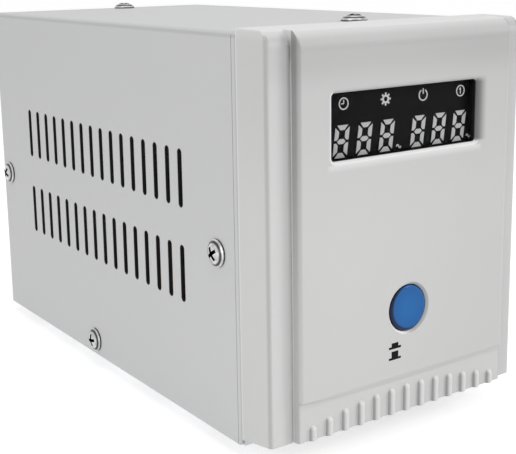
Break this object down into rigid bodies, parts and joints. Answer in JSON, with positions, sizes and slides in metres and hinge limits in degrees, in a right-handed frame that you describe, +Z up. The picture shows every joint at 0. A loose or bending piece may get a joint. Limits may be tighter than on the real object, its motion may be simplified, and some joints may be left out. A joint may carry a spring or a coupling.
{
  "type": "voltage stabilizer",
  "caption": "Desktop automatic voltage stabilizer: vented steel case, moulded front with display window and latching button, transformer and relay board, rear socket and rocker switch.",
  "frame": {"origin": "middle of the footprint at floor level, under the rubber feet", "axes": "+Z up, +X to the right seen from the front, the front with the display faces -Y"},
  "size_m": [0.115, 0.2302, 0.145],
  "materials": {
    "painted_steel": "satin powder coat, light grey",
    "zinc_steel": "zinc plated sheet",
    "bezel_plastic": "fine texture, light grey",
    "screw_chrome": "nickel plated",
    "window_lens": "smoked acrylic",
    "display_black": "black display face",
    "board_green": "solder resist",
    "white_plastic": "nylon",
    "button_blue": "polished",
    "spring_steel": "drawn wire",
    "black_plastic": "moulded",
    "foot_rubber": "matt",
    "core_steel": "varnished laminations",
    "enamel_copper": "enamelled winding wire under tape",
    "relay_blue": "relay cans",
    "capacitor_film": "shrink sleeve",
    "heat_aluminium": "extruded",
    "brass": "drawn brass",
    "socket_plastic": "socket moulding",
    "switch_red": "switch key"
  },
  "bodies": {
    "case": {"top_cover": "painted_steel", "base_chassis": "zinc_steel", "front_frame": "zinc_steel", "rear_panel": "painted_steel", "rear_frame": "zinc_steel", "cover_screws": "screw_chrome", "frame_screws": "screw_chrome", "front_bezel": "bezel_plastic", "bezel_screws": "screw_chrome", "display_window": "window_lens", "display_block": "display_black", "front_board": "board_green", "front_board_screws": "screw_chrome", "board_connector": "white_plastic", "delay_spring": "spring_steel", "delay_switch_housing": "black_plastic", "rubber_feet": "foot_rubber", "foot_screws": "screw_chrome", "transformer_core": "core_steel", "transformer_bobbin": "white_plastic", "transformer_winding": "enamel_copper", "transformer_strap": "zinc_steel", "transformer_bolts": "screw_chrome", "transformer_nuts": "screw_chrome", "control_board": "board_green", "board_standoffs": "brass", "control_board_screws": "screw_chrome", "relays": "relay_blue", "capacitors": "capacitor_film", "heat_sink": "heat_aluminium", "controller_chip": "black_plastic", "spade_terminals": "brass", "output_socket": "socket_plastic", "earth_pin": "brass", "socket_contacts": "brass", "socket_screws": "screw_chrome", "switch_frame": "black_plastic", "switch_terminals": "brass", "breaker_body": "black_plastic", "breaker_nut": "screw_chrome", "cord_inlet": "black_plastic", "inlet_nut": "black_plastic"},
    "delay_button": {"delay_button": "button_blue", "delay_plunger": "white_plastic"},
    "rocker": {"rocker_key": "switch_red"},
    "reset_button": {"breaker_button": "switch_red"}
  },
  "joints": [
    {"name": "delay_button_slide", "type": "slide", "parent": "case", "child": "delay_button", "axis": [0, -1, 0], "range_m": [-0.0005, 0.003], "deforming": ["delay_spring"]},
    {"name": "rocker_tilt", "type": "hinge", "parent": "case", "child": "rocker", "pos_m": [-0.0359, 0.10415, 0.0765], "axis": [1, 0, 0], "range_deg": [0, 20]},
    {"name": "reset_slide", "type": "slide", "parent": "case", "child": "reset_button", "axis": [0, 1, 0], "range_m": [0, 0.004]}
  ]
}
